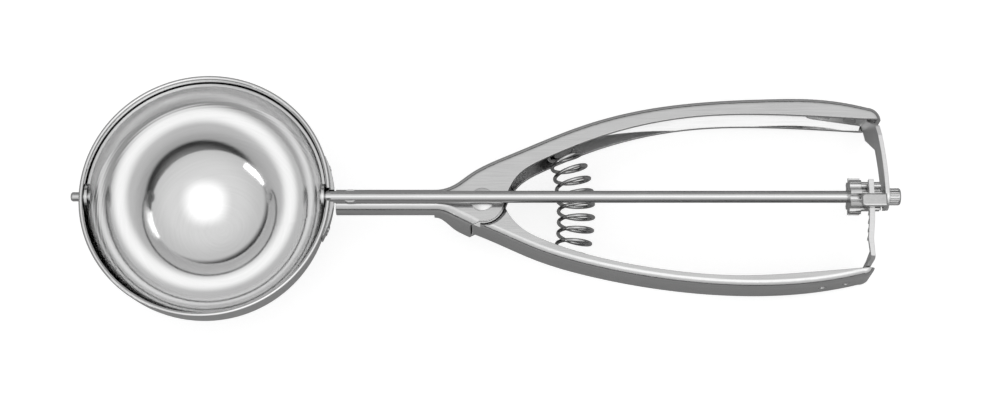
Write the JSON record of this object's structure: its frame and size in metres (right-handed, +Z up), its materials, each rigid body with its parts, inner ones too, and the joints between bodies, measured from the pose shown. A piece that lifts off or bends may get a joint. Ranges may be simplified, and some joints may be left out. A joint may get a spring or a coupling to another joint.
{
  "type": "ice scoop",
  "caption": "Squeeze-handle ice scoop: steel hemispherical bowl with a curved scraper blade that a toothed strip and pinion sweep round when the sprung lever is squeezed.",
  "frame": {"origin": "on the ground plane, below the middle of the whole tool as it lies on its bowl and both handle tips with the bowl's mouth up", "axes": "+X from the bowl towards the handles, +Y towards the fixed handle, +Z up. The drive rod runs down towards +X at 5.94 degrees, because the tool leans back on its handle tips."},
  "size_m": [0.2388, 0.0726, 0.0433],
  "materials": {
    "polished_bowl": "mirror polished stainless steel",
    "polished_handle": "polished stainless steel",
    "plain_steel": "bright stainless steel",
    "satin_strip": "satin stainless steel strip",
    "drawn_rod": "bright drawn stainless steel rod",
    "brushed_blade": "finely brushed stainless steel",
    "spring_wire": "bright stainless spring wire"
  },
  "bodies": {
    "frame": {"bowl": "polished_bowl", "stem_saddle": "plain_steel", "saddle_welds": "plain_steel", "fixed_handle": "polished_handle", "support_arm": "satin_strip", "support_arm_rivets": "plain_steel", "rod_guide": "plain_steel", "pivot_rivet": "plain_steel", "pivot_washer_front": "plain_steel", "pivot_washer_back": "plain_steel", "fixed_spring_seat": "plain_steel", "return_spring": "spring_wire"},
    "lever": {"lever_handle": "polished_handle", "toothed_strip": "satin_strip", "toothed_strip_rivets": "plain_steel", "lever_spring_seat": "plain_steel"},
    "scraper": {"drive_rod": "drawn_rod", "drive_pinion": "plain_steel", "rod_end_cap": "drawn_rod", "scraper_blade": "brushed_blade", "front_pin": "drawn_rod"}
  },
  "joints": [
    {"name": "squeeze", "type": "hinge", "parent": "frame", "child": "lever", "pos_m": [-0.00203, 0, 0.01827], "axis": [0.1036, 0, 0.9946], "range_deg": [0, 5.26], "stiffness_Nm_per_rad": 8, "springref_deg": -5.73, "deforming": ["return_spring"]},
    {"name": "scraper_turn", "type": "hinge", "parent": "frame", "child": "scraper", "pos_m": [-0.08063, 0, 0.0359], "axis": [0.9946, 0, -0.1036], "range_deg": [-163.5, 0]}
  ],
  "couplings": [
    {"joint": "scraper_turn", "follows": "squeeze", "ratio": -31.056}
  ]
}
